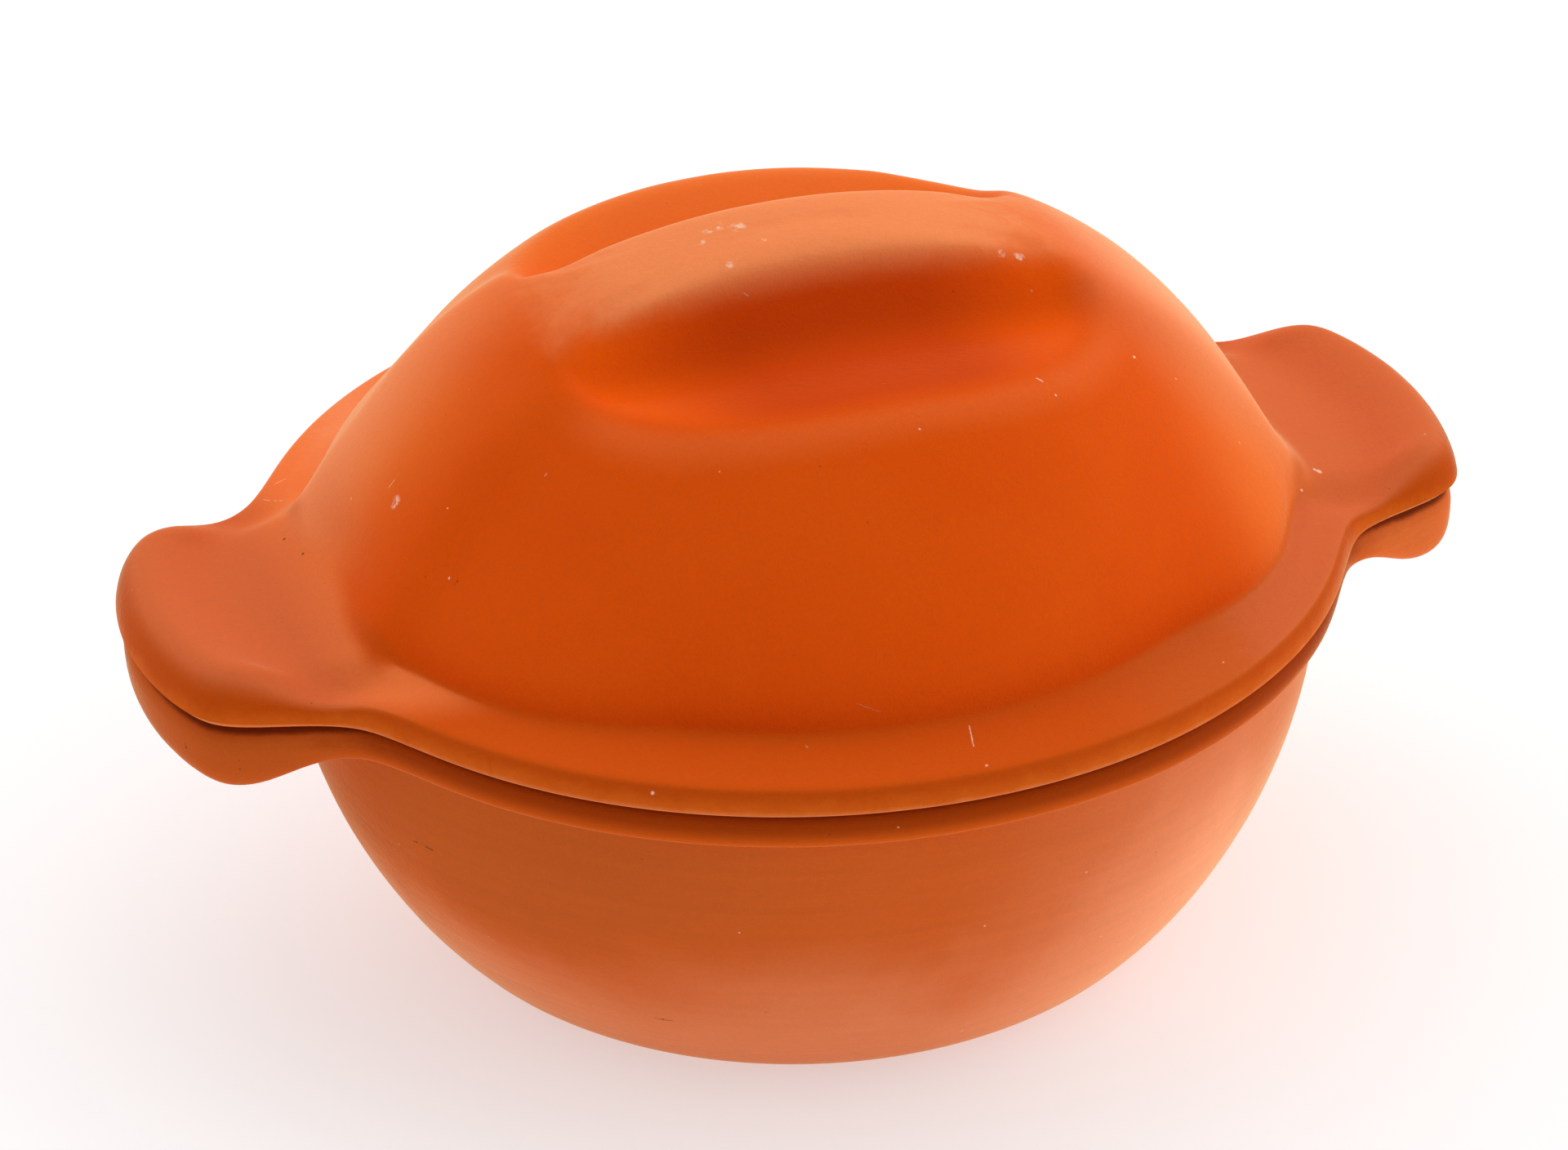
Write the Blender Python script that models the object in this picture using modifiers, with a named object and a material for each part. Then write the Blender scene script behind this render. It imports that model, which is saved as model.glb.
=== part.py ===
# Round clay baker: a deep base and a domed lid, both in unglazed clay.
# Metres. +X runs from ear to ear, -Y is the front and +Z is up. The origin is the
# middle of the foot, on the table.
# Both pieces are lofts. Each section is the radial profile at one point of the rim's
# outline, from the pole inside the piece, over the edge, to the pole on its other side.
# One quarter is lofted and mirrored twice.

import math

import bmesh
import bpy

# The rim's outline, which lid and base share
EAR_SPAN = 0.366  # ear tip to ear tip
BODY_LENGTH = 0.292  # the rim's oval along X, without the ears
BODY_WIDTH = 0.284  # the rim's oval along Y
EAR_WIDTH = 0.099  # across an ear, where its side lines would meet its tip
EAR_TAPER = 0.03  # how far each side of an ear runs in per unit of reach
EAR_END_RADIUS = 0.103  # of the arc that ends an ear
EAR_CORNER_POWER = 13.0  # a higher power makes the corners squarer
NECK_POWER = 14.5  # a higher power makes the neck of an ear tighter

# The seam between lid and base
SEAM_HEIGHT = 0.1060
SEAM_GAP = 0.0003

# The lid's edge, flange and ears
LID_ARRIS = 0.0006  # bevel along the lowest edge
LID_EAR_ARRIS = 0.0020  # the same, at an ear
LID_EDGE_HEIGHT = 0.0075
LID_EDGE_ROLL = 0.0028  # how far the edge rolls inwards at its top
LID_EAR_HEIGHT = 0.0140
LID_EAR_ROLL = 0.0100
LID_EAR_DIP = 0.0045  # saddle between the dome and the end of an ear
LID_EAR_RISE = (0.25, 0.75)  # shares of an ear's reach over which its edge rises
EAR_ROOT = (0.0, 0.5)  # shares of an ear's reach over which its root widens
NECK_DIP = 0.0025  # how far the edge falls at the neck of an ear
NECK_FALL = (0.0, 0.2)  # shares of an ear's reach over which the edge falls
NECK_RETURN = (0.25, 0.6)
FLANGE_RISE = 0.0010  # from the edge to the foot of the dome
EAR_FLANGE_RISE = 0.0030  # the same, at an ear

# The dome
DOME_LENGTH = 0.243
DOME_WIDTH = 0.238
DOME_HEIGHT = 0.0824  # above the flange
DOME_STEEPNESS = 0.12  # share of the height that the side stays near upright
DOME_FLATNESS = 0.83  # share of the radius over which the crown stays near level
DOME_FILLET = 0.0030
EAR_FILLET = 0.0160  # the fillet at the middle of an ear
LID_WALL = 0.0090

# The grip: a bar along X that is left between two finger recesses
BAR_LENGTH = 0.148
BAR_WIDTH = 0.0350
BAR_FLARE = 0.0080  # how far each side of the bar runs out towards its ends
BAR_LIFT = 0.0012  # above the dome
RECESS_LENGTH = 0.152
RECESS_REACH = 0.0725  # from the bar's middle line to the lip of a recess
RECESS_DEPTH = 0.0300  # that the two slopes of a recess would run down to
RECESS_POWER = 2.5  # a higher power makes the ends of the lip squarer
RECESS_WALL_SLOPE = 1.80  # fall per unit from the bar
RECESS_LIP_SLOPE = 0.53  # fall per unit from the lip
RECESS_WALL_ROUND = 0.0022  # softens the top of the wall
RECESS_LIP_ROUND = 0.0015  # softens the lip
RECESS_BLEND = 3.0  # a higher power makes the bottom of a recess sharper

# The lip under the lid that drops into the base
LIP_DEPTH = 0.0050
LIP_THICKNESS = 0.0070
LIP_CLEARANCE = 0.0020
LIP_ROUND = 0.0020

# The base's rim
RIM_LAND = 0.0140  # width of the flat that the lid sits on
RIM_ROUND = 0.0040  # rounding of the rim's upper outer edge
EAR_RIM_ROUND = 0.0060  # the same, at an ear
RIM_BEVEL = 0.0010  # along the rim's inner edge
RIM_SET_BACK = 0.0011  # the base's edge lies this far inside the lid's
BAND_HEIGHT = 0.0105
BAND_ROUND = 0.0032
BAND_OVERHANG = 0.0065
REBATE_DEPTH = 0.0065  # room for the lid's lip
BASE_EAR_HEIGHT = 0.0212
BASE_EAR_ROUND = 0.0090
BASE_EAR_DROP = (0.15, 0.7)  # shares of an ear's reach over which its underside falls

# The bowl
BOWL_STRAIGHT = 0.050  # length over which the side stays near upright
HEEL_REACH = 0.0110  # length over which the side turns into the foot
FOOT_LENGTH = 0.190
FOOT_WIDTH = 0.186
FOOT_RING = 0.0120  # width of the ring that touches the table
FOOT_HOLLOW = 0.0012
FOOT_SLOPE = 2.0  # reach of the hollow's edge, per unit of its depth
BASE_WALL = 0.0090
FLOOR_THICKNESS = 0.0100

# Ribs across the floor that lift the food out of its juice
RIB_COUNT = 9
RIB_PITCH = 0.0160
RIB_WIDTH = 0.0050
RIB_HEIGHT = 0.0025
RIB_SETBACK = 0.0100  # from the floor's border to the end of a rib

# How finely the surfaces are cut
QUARTER_STEPS = 22
DOME_STEPS = (3, 11, 8)  # over the bar, down to the lips of the recesses, and to the border
HOLLOW_STEPS = (2, 5, 4)
FLANGE_STEPS = 5
BOWL_STEPS = 9
WALL_STEPS = 8
OUTLINE_SAMPLES = 1800
TURN_WEIGHT = 0.026  # metres of outline that one radian of turning counts for
RING_BUNCHING = 1.3  # a higher power brings the rings closer to the bar
EVEN_SHARE = 1.3  # how soon the points spread evenly, from the dome's border inwards
HALVINGS = 40
WELD = 0.00001


def lerp(a, b, t):
    return a + (b - a) * t


def smoothstep(t):
    t = min(1.0, max(0.0, t))
    return t * t * (3.0 - 2.0 * t)


def bezier(a, b, c, d, t):
    u = 1.0 - t
    return u * u * u * a + 3 * u * u * t * b + 3 * u * t * t * c + t * t * t * d


def oval_radius(angle, length, width):
    return 1.0 / math.hypot(math.cos(angle) / (length / 2), math.sin(angle) / (width / 2))


def power_sum(a, b, power):
    largest = max(a, b)
    return largest * ((a / largest) ** power + (b / largest) ** power) ** (1 / power)


def ear_reach():
    # The bar's own reach, so that the union with the body ends at the ear's tip
    span = EAR_SPAN / 2
    return span * (1.0 - (BODY_LENGTH / EAR_SPAN) ** NECK_POWER) ** (1 / NECK_POWER)


def rim_radius(angle):
    # A smooth union of the rim's oval and one tapered bar that makes both ears
    c = abs(math.cos(angle))
    s = abs(math.sin(angle))
    reach = ear_reach()
    side = (s + EAR_TAPER * c) / (EAR_WIDTH / 2 + EAR_TAPER * reach)
    end = math.hypot(c / reach, s / math.sqrt(reach * EAR_END_RADIUS))
    ear = (side**EAR_CORNER_POWER + end**EAR_CORNER_POWER) ** (-1 / EAR_CORNER_POWER)
    return power_sum(ear, oval_radius(angle, BODY_LENGTH, BODY_WIDTH), NECK_POWER)


def outline_quarter():
    # Points of the first quarter of the outline, closer together where it turns
    samples = []
    for k in range(OUTLINE_SAMPLES + 1):
        angle = math.pi / 2 * k / OUTLINE_SAMPLES
        radius = rim_radius(angle)
        samples.append((angle, radius * math.cos(angle), radius * math.sin(angle)))
    normals = []
    for k in range(OUTLINE_SAMPLES + 1):
        before = samples[max(0, k - 1)]
        after = samples[min(OUTLINE_SAMPLES, k + 1)]
        dx = after[1] - before[1]
        dy = after[2] - before[2]
        size = math.hypot(dx, dy)
        normals.append((dy / size, -dx / size))
    normals[0] = (1.0, 0.0)
    normals[-1] = (0.0, 1.0)
    measure = [0.0]
    for k in range(OUTLINE_SAMPLES):
        step = math.dist(samples[k][1:], samples[k + 1][1:])
        cross = normals[k][0] * normals[k + 1][1] - normals[k][1] * normals[k + 1][0]
        turn = abs(math.asin(max(-1.0, min(1.0, cross))))
        measure.append(measure[-1] + step + TURN_WEIGHT * turn)
    points = []
    k = 0
    for step in range(QUARTER_STEPS + 1):
        target = measure[-1] * step / QUARTER_STEPS
        while k < OUTLINE_SAMPLES - 1 and measure[k + 1] < target:
            k += 1
        share = min(1.0, (target - measure[k]) / (measure[k + 1] - measure[k]))
        a = samples[k]
        b = samples[k + 1]
        angle = lerp(a[0], b[0], share)
        body = oval_radius(angle, BODY_LENGTH, BODY_WIDTH)
        radius = rim_radius(angle)
        points.append(
            {
                "angle": angle,
                "even": math.pi / 2 * step / QUARTER_STEPS,
                "x": radius * math.cos(angle),
                "y": radius * math.sin(angle),
                "nx": lerp(normals[k][0], normals[k + 1][0], share),
                "ny": lerp(normals[k][1], normals[k + 1][1], share),
                "out": (radius - body) / ((EAR_SPAN - BODY_LENGTH) / 2),
            }
        )
    return points


def ear_share(point, span):
    # 0 on the body's rim and 1 at the end of an ear, rising between two shares of its reach
    start, end = span
    return smoothstep((point["out"] - start) / (end - start))


def arc(turn):
    # How far a quarter round has gone in and up, at this many degrees of turn
    return (1.0 - math.cos(math.radians(turn)), math.sin(math.radians(turn)))


def inset(point, distance):
    return (point["x"] - point["nx"] * distance, point["y"] - point["ny"] * distance)


def on_oval(point, length, width, even=0.0, power=2.0):
    # even = 1 spreads the points evenly round the oval, as suits a pole, and a power over
    # 2 squares the oval's corners
    angle = lerp(point["angle"], point["even"], even)
    x = length / 2 * abs(math.cos(angle)) ** (2 / power)
    y = width / 2 * abs(math.sin(angle)) ** (2 / power)
    return (x, y)


def between(a, b, t):
    return tuple(lerp(p, q, t) for p, q in zip(a, b))


def soften(distance, rounding):
    return (distance + math.hypot(distance, rounding)) / 2


def recess(x, y, grown=0.0):
    # Depth of the finger recesses below the dome, at x and y: a wall falls from the bar
    # and a gentler slope from the outer lip, and the two blend at the bottom
    along = min(1.0, abs(x) / (RECESS_LENGTH / 2 + grown))
    lip = (RECESS_REACH + grown) * (1.0 - along**RECESS_POWER) ** (1 / RECESS_POWER)
    from_lip = soften(RECESS_LIP_SLOPE * (lip - abs(y)), RECESS_LIP_ROUND)
    bar_side = BAR_WIDTH / 2 + BAR_FLARE * along**4 - grown
    from_bar = soften(RECESS_WALL_SLOPE * (abs(y) - bar_side), RECESS_WALL_ROUND)
    total = from_lip**-RECESS_BLEND + from_bar**-RECESS_BLEND + RECESS_DEPTH**-RECESS_BLEND
    return total ** (-1 / RECESS_BLEND)


def bar_lift(x, y):
    along = smoothstep(3.0 - 3.0 * abs(x) / (BAR_LENGTH / 2))
    across = math.exp(-((abs(y) / (BAR_WIDTH / 2)) ** 6))
    return BAR_LIFT * along * across


def dome_height(x, y, inwards, top, foot):
    # The profile is a Bezier curve, so its height at one radius is found by halving
    share = math.hypot(x / (DOME_LENGTH / 2 - inwards), y / (DOME_WIDTH / 2 - inwards))
    low = 0.0
    high = 1.0
    for _ in range(HALVINGS):
        middle = (low + high) / 2
        if bezier(0.0, DOME_FLATNESS, 1.0, 1.0, middle) < share:
            low = middle
        else:
            high = middle
    return bezier(top, top, lerp(foot, top, DOME_STEEPNESS), foot, high)


def dome_rings(inwards, bar_steps, recess_steps, side_steps):
    # Length, width and power of the rings, from the top out: they follow the bar, then
    # the lips of the recesses, and then the dome
    bar = (RECESS_LENGTH - BAR_WIDTH / 2, BAR_WIDTH, RECESS_POWER)
    lips = (RECESS_LENGTH, 2 * RECESS_REACH, RECESS_POWER)
    border = (DOME_LENGTH - 2 * inwards, DOME_WIDTH - 2 * inwards, 2.0)
    rings = [(bar[0] * k / bar_steps, bar[1] * k / bar_steps, bar[2]) for k in range(1, bar_steps)]
    rings += [between(bar, lips, (k / recess_steps) ** RING_BUNCHING) for k in range(recess_steps)]
    for k in range(side_steps):
        rings.append(between(lips, border, math.sin(math.pi / 2 * k / side_steps)))
    return rings


def dome_points(point, inwards, top, foot, steps):
    # Points of one section over the dome, or under it, from next to the top to its border
    points = []
    for length, width, power in dome_rings(inwards, *steps):
        even = smoothstep(EVEN_SHARE * (1.0 - width / DOME_WIDTH))
        x, y = on_oval(point, length, width, even, power)
        z = dome_height(x, y, inwards, top, foot)
        points.append((x, y, z + bar_lift(x, y) - recess(x, y, inwards / 2)))
    return points


def lid_section(point):
    # From the top of the dome, over the edge, to the top of the hollow below
    ear = ear_share(point, LID_EAR_RISE)
    root = ear_share(point, EAR_ROOT)
    neck = ear_share(point, NECK_FALL) * (1.0 - ear_share(point, NECK_RETURN))
    seat = SEAM_HEIGHT + SEAM_GAP / 2
    foot = seat + LID_EDGE_HEIGHT + FLANGE_RISE
    flange = seat + LID_EDGE_HEIGHT + lerp(FLANGE_RISE, EAR_FLANGE_RISE, root)
    top = foot + DOME_HEIGHT
    fillet = lerp(DOME_FILLET, EAR_FILLET, root)
    edge = lerp(LID_EDGE_HEIGHT, LID_EAR_HEIGHT, ear) - NECK_DIP * neck
    roll = lerp(LID_EDGE_ROLL, LID_EAR_ROLL, ear)
    arris = lerp(LID_ARRIS, LID_EAR_ARRIS, root)

    section = [(0.0, 0.0, top + bar_lift(0.0, 0.0) - recess(0.0, 0.0))]
    section += dome_points(point, 0.0, top, flange + fillet, DOME_STEPS)
    for turn in (0, 28, 58, 90):
        out, down = arc(turn)
        x, y = on_oval(point, DOME_LENGTH + 2 * fillet * out, DOME_WIDTH + 2 * fillet * out)
        section.append((x, y, flange + fillet * (1.0 - down)))
    start = section[-1]
    end = inset(point, roll)
    for step in range(1, FLANGE_STEPS):
        t = step / FLANGE_STEPS
        x, y = between(start, end, t)
        z = lerp(flange, seat + edge, smoothstep(t))
        section.append((x, y, z - LID_EAR_DIP * root * math.sin(math.pi * t) ** 2))
    for turn in (90, 66, 43, 20):
        inwards, up = arc(turn)
        x, y = inset(point, roll * inwards)
        section.append((x, y, seat + edge * up))
    x, y = inset(point, 0.0)
    section.append((x, y, seat + arris))
    x, y = inset(point, arris)
    section.append((x, y, seat))

    lip_length = BODY_LENGTH - 2 * (RIM_LAND + LIP_CLEARANCE)
    lip_width = BODY_WIDTH - 2 * (RIM_LAND + LIP_CLEARANCE)
    lip_end = seat - LIP_DEPTH
    x, y = on_oval(point, lip_length, lip_width)
    section.append((x, y, seat))
    for turn in (20, 90):
        inwards, down = arc(turn)
        shrink = 2 * LIP_ROUND * inwards
        x, y = on_oval(point, lip_length - shrink, lip_width - shrink)
        section.append((x, y, lip_end + LIP_ROUND * (1.0 - down)))
    x, y = on_oval(point, lip_length - 2 * LIP_THICKNESS, lip_width - 2 * LIP_THICKNESS)
    section.append((x, y, lip_end))

    hollow_top = top - LID_WALL
    x, y = on_oval(point, DOME_LENGTH - 2 * LID_WALL, DOME_WIDTH - 2 * LID_WALL)
    section.append((x, y, foot))
    section += reversed(dome_points(point, LID_WALL, hollow_top, foot, HOLLOW_STEPS))
    section.append((0.0, 0.0, hollow_top + bar_lift(0.0, 0.0) - recess(0.0, 0.0, LID_WALL / 2)))
    return section


def base_section(point):
    # From the middle of the floor, up inside and over the rim, to the middle of the foot
    ear = ear_share(point, BASE_EAR_DROP)
    rim = SEAM_HEIGHT - SEAM_GAP / 2
    upper = lerp(RIM_ROUND, EAR_RIM_ROUND, ear_share(point, EAR_ROOT))
    underside = rim - lerp(BAND_HEIGHT, BASE_EAR_HEIGHT, ear)
    rounding = lerp(BAND_ROUND, BASE_EAR_ROUND, ear)
    band = rim - BAND_HEIGHT
    bowl = (BODY_LENGTH - 2 * BAND_OVERHANG, BODY_WIDTH - 2 * BAND_OVERHANG)
    heel = (FOOT_LENGTH + 2 * HEEL_REACH, FOOT_WIDTH + 2 * HEEL_REACH)
    foot = (FOOT_LENGTH, FOOT_WIDTH)
    section = [(0.0, 0.0, FLOOR_THICKNESS)]

    inner_top = rim - REBATE_DEPTH
    for k in range(WALL_STEPS + 1):
        t = k / WALL_STEPS
        length, width = (bezier(foot[n], heel[n], bowl[n], bowl[n], t) - 2 * BASE_WALL for n in (0, 1))
        x, y = on_oval(point, length, width, 1.0 - t)
        z = bezier(FLOOR_THICKNESS, FLOOR_THICKNESS, inner_top - BOWL_STRAIGHT, inner_top, t)
        section.append((x, y, z))
    opening_length = BODY_LENGTH - 2 * RIM_LAND
    opening_width = BODY_WIDTH - 2 * RIM_LAND
    for grown, z in ((0.0, inner_top), (0.0, rim - RIM_BEVEL), (RIM_BEVEL, rim)):
        x, y = on_oval(point, opening_length + 2 * grown, opening_width + 2 * grown)
        section.append((x, y, z))

    for turn in (90, 60, 30, 0):
        inwards, up = arc(turn)
        x, y = inset(point, RIM_SET_BACK + upper * inwards)
        section.append((x, y, rim - upper * (1.0 - up)))
    for turn in (0, 30, 60, 90):
        inwards, down = arc(turn)
        x, y = inset(point, RIM_SET_BACK + rounding * inwards)
        section.append((x, y, underside + rounding * (1.0 - down)))
    start = section[-1]
    end = on_oval(point, *bowl)
    for t in (0.5, 1.0):
        x, y = between(start, end, t)
        section.append((x, y, lerp(start[2], band, smoothstep(t))))

    for k in range(1, BOWL_STEPS + 1):
        t = k / BOWL_STEPS
        length, width = (bezier(bowl[n], bowl[n], heel[n], foot[n], t) for n in (0, 1))
        x, y = on_oval(point, length, width, t)
        section.append((x, y, bezier(band, band - BOWL_STRAIGHT, 0.0, 0.0, t)))
    for inwards, z in ((FOOT_RING, 0.0), (FOOT_RING + FOOT_SLOPE * FOOT_HOLLOW, FOOT_HOLLOW)):
        x, y = on_oval(point, FOOT_LENGTH - 2 * inwards, FOOT_WIDTH - 2 * inwards, 1.0)
        section.append((x, y, z))
    section.append((0.0, 0.0, FOOT_HOLLOW))
    return section


def clay(name, colour, roughness):
    material = bpy.data.materials.new(name)
    material.use_nodes = True
    shader = material.node_tree.nodes["Principled BSDF"]
    shader.inputs["Base Color"].default_value = (*colour, 1.0)
    shader.inputs["Roughness"].default_value = roughness
    shader.inputs["Metallic"].default_value = 0.0
    material.diffuse_color = (*colour, 1.0)
    return material


def loft(name, sections, material, collection):
    # A quarter of the surface through the sections, and two mirrors that close it
    mesh = bpy.data.meshes.new(name)
    build = bmesh.new()
    columns = []
    for index, section in enumerate(sections):
        column = []
        for row, (x, y, z) in enumerate(section):
            at_pole = row in (0, len(section) - 1)
            if at_pole and columns:
                column.append(columns[0][row])
                continue
            x = 0.0 if index == len(sections) - 1 else x
            y = 0.0 if index == 0 else y
            column.append(build.verts.new((x, y, z)))
        columns.append(column)
    for left, right in zip(columns, columns[1:]):
        for row in range(len(left) - 1):
            corners = [left[row], left[row + 1], right[row + 1], right[row]]
            build.faces.new(dict.fromkeys(corners))
    build.to_mesh(mesh)
    build.free()
    mesh.shade_smooth()
    mesh.materials.append(material)
    obj = bpy.data.objects.new(name, mesh)
    collection.objects.link(obj)
    mirror = obj.modifiers.new("Quarters", "MIRROR")
    mirror.use_axis = (True, True, False)
    mirror.merge_threshold = WELD
    return obj


def make_rib(index, collection):
    # A round-topped bar across the floor, half sunk in it
    y = (index - (RIB_COUNT - 1) / 2) * RIB_PITCH
    half_width = FOOT_WIDTH / 2 - BASE_WALL - RIB_SETBACK
    half_length = (FOOT_LENGTH / 2 - BASE_WALL - RIB_SETBACK) * math.sqrt(1.0 - (y / half_width) ** 2)
    bpy.ops.mesh.primitive_cylinder_add(
        vertices=12, radius=RIB_WIDTH / 2, depth=2 * half_length, location=(0.0, y, FLOOR_THICKNESS)
    )
    rib = bpy.context.object
    rib.name = f"floor_rib_{index + 1}"
    rib.rotation_euler = (0.0, math.pi / 2, 0.0)
    rib.scale = (2 * RIB_HEIGHT / RIB_WIDTH, 1.0, 1.0)
    rib.hide_render = True
    rib.display_type = "WIRE"
    for other in list(rib.users_collection):
        other.objects.unlink(rib)
    collection.objects.link(rib)
    return rib


def main():
    for obj in list(bpy.data.objects):
        bpy.data.objects.remove(obj, do_unlink=True)
    parts = bpy.data.collections.new("clay_baker")
    helpers = bpy.data.collections.new("floor_ribs")
    bpy.context.scene.collection.children.link(parts)
    bpy.context.scene.collection.children.link(helpers)

    outline = outline_quarter()
    lid_clay = clay("lid clay", (0.62, 0.15, 0.04), 0.85)
    base_clay = clay("base clay", (0.58, 0.16, 0.06), 0.85)
    loft("lid", [lid_section(point) for point in outline], lid_clay, parts)
    base = loft("base", [base_section(point) for point in outline], base_clay, parts)
    for index in range(RIB_COUNT):
        union = base.modifiers.new(f"Rib {index + 1}", "BOOLEAN")
        union.operation = "UNION"
        union.object = make_rib(index, helpers)


main()
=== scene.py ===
# Round clay baker: the looks of its lid and its base, in unglazed clay that has been used.
# Metres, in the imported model's own frame: +X from ear to ear, -Y the front, +Z up.
import math

import bpy
import numpy
from mathutils import Matrix, Vector


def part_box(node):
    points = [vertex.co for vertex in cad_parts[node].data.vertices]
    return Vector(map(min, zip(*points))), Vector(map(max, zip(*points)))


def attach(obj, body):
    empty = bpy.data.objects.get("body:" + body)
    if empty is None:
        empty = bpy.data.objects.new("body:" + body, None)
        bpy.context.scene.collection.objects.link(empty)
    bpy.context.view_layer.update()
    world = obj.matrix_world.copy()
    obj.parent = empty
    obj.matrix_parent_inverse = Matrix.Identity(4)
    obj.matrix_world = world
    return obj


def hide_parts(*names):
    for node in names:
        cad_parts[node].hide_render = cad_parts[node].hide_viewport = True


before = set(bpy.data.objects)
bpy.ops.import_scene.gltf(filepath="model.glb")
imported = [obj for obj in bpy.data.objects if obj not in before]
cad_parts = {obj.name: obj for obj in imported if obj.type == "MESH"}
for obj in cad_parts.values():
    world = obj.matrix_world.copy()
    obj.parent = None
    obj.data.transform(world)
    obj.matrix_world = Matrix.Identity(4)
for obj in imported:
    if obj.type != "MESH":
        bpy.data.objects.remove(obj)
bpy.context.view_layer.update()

print("frame loaded:", sorted(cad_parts))


# Camera

photoView = {
    "turn": -19.5,  # degrees round the pot, from its front
    "elevation": 29.86,
    "roll": -0.69,
    "distance": 1.400,
    "aim": (0.0, 0.0, 0.080),
    "slide": (-0.00424, 0.01084),  # of the camera across its own view
    "lens": 119.73,
    "sensor": 36.0,
    "frame": (1920, 1408),  # pixels of the photograph
    "clipEnd": 20.0,
}


def makeCamera(look):
    turn = math.radians(look["turn"])
    elevation = math.radians(look["elevation"])
    roll = math.radians(look["roll"])
    level = Vector((math.cos(turn), math.sin(turn), 0.0))
    outwards = Vector((math.sin(turn), -math.cos(turn), 0.0))
    back = outwards * math.cos(elevation) + Vector((0.0, 0.0, math.sin(elevation)))
    upright = back.cross(level)
    right = level * math.cos(roll) + upright * math.sin(roll)
    up = upright * math.cos(roll) - level * math.sin(roll)
    slide = right * look["slide"][0] + up * look["slide"][1]
    place = Vector(look["aim"]) + back * look["distance"] + slide
    camera = bpy.data.objects.new("photoCamera", bpy.data.cameras.new("photoCamera"))
    bpy.context.scene.collection.objects.link(camera)
    facing = Matrix((right, up, back)).transposed().to_4x4()
    camera.matrix_world = Matrix.Translation(place) @ facing
    camera.data.sensor_width = look["sensor"]
    camera.data.lens = look["lens"]
    camera.data.clip_end = look["clipEnd"]
    bpy.context.scene.camera = camera
    return camera


camera = makeCamera(photoView)
print("camera placed")


# Small helpers for shader nodes

def addNode(tree, kind, **settings):
    node = tree.nodes.new(kind)
    for name, value in settings.items():
        setattr(node, name, value)
    return node


def feed(tree, socket, value):
    # A socket takes another node's output, a number or a colour
    if isinstance(value, bpy.types.NodeSocket):
        tree.links.new(value, socket)
    elif value is not None:
        socket.default_value = value


def math1(tree, operation, first, second=None, third=None):
    node = addNode(tree, "ShaderNodeMath", operation=operation)
    for socket, value in zip(node.inputs, (first, second, third)):
        feed(tree, socket, value)
    return node.outputs[0]


def vector1(tree, operation, first, second=None, scale=None):
    node = addNode(tree, "ShaderNodeVectorMath", operation=operation)
    feed(tree, node.inputs[0], first)
    if operation == "SCALE":
        feed(tree, node.inputs["Scale"], scale)
    else:
        feed(tree, node.inputs[1], second)
    givesNumber = operation in ("DOT_PRODUCT", "LENGTH", "DISTANCE")
    return node.outputs["Value"] if givesNumber else node.outputs[0]


def ramp(tree, value, low, high, start=0.0, end=1.0):
    # Eases from start to end as the value goes from low to high
    node = addNode(tree, "ShaderNodeMapRange", interpolation_type="SMOOTHSTEP")
    for socket, given in zip(node.inputs, (value, low, high, start, end)):
        feed(tree, socket, given)
    return node.outputs[0]


def cloud(tree, where, scale, detail=3.0, roughness=0.5, distortion=0.0):
    # Soft noise round 0.5
    node = addNode(tree, "ShaderNodeTexNoise", noise_dimensions="3D")
    feed(tree, node.inputs["Vector"], where)
    node.inputs["Scale"].default_value = scale
    node.inputs["Detail"].default_value = detail
    node.inputs["Roughness"].default_value = roughness
    node.inputs["Distortion"].default_value = distortion
    return node.outputs["Fac"]


def stretched(tree, where, scales):
    node = addNode(tree, "ShaderNodeMapping")
    feed(tree, node.inputs["Vector"], where)
    node.inputs["Scale"].default_value = scales
    return node.outputs[0]


def blend(tree, share, below, above):
    # The colour below where the share is 0, and the one above where it is 1
    node = addNode(tree, "ShaderNodeMix", data_type="RGBA", clamp_factor=True)
    feed(tree, node.inputs["Factor"], share)
    for side, colour in (("A", below), ("B", above)):
        given = colour if isinstance(colour, bpy.types.NodeSocket) else (*colour, 1.0)
        feed(tree, node.inputs[side], given)
    return node.outputs["Result"]


def blendNumber(tree, share, below, above):
    node = addNode(tree, "ShaderNodeMix", data_type="FLOAT")
    for side, value in (("Factor", share), ("A", below), ("B", above)):
        feed(tree, node.inputs[side], value)
    return node.outputs["Result"]


def joined(tree, operation, masks):
    total = masks[0]
    for mask in masks[1:]:
        total = math1(tree, operation, total, mask)
    return total


def strongest(tree, *masks):
    return joined(tree, "MAXIMUM", masks)


def product(tree, *masks):
    return joined(tree, "MULTIPLY", masks)


# Floor and surroundings

studio = {
    "floorSize": 8.0,
    "floorColour": (0.86, 0.86, 0.86),
    "seenColour": (0.55, 0.55, 0.55),  # as the camera sees it
    "floorGlow": 0.50,  # the floor is a lit table under the pot
    "floorLift": 0.48,  # added to the floor as the camera sees it
    "floorRoughness": 0.9,
    "frontLight": 0.19,  # the tent's strength on the camera's side
    "backLight": 1.35,
    "tentTurn": -36.0,  # the tent is dimmest in this direction
    "tentRamp": (-0.95, 0.38),  # from its dimmest to its brightest side
    "topLight": 0.15,  # added overhead
    "topFrom": (0.3, 1.0),
}


def seenDirectly(tree):
    # 1 for what the camera sees itself, in a reflection or through glass
    rays = addNode(tree, "ShaderNodeLightPath").outputs
    kinds = ("Camera", "Glossy", "Transmission")
    return strongest(tree, *(rays[f"Is {kind} Ray"] for kind in kinds))


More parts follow.
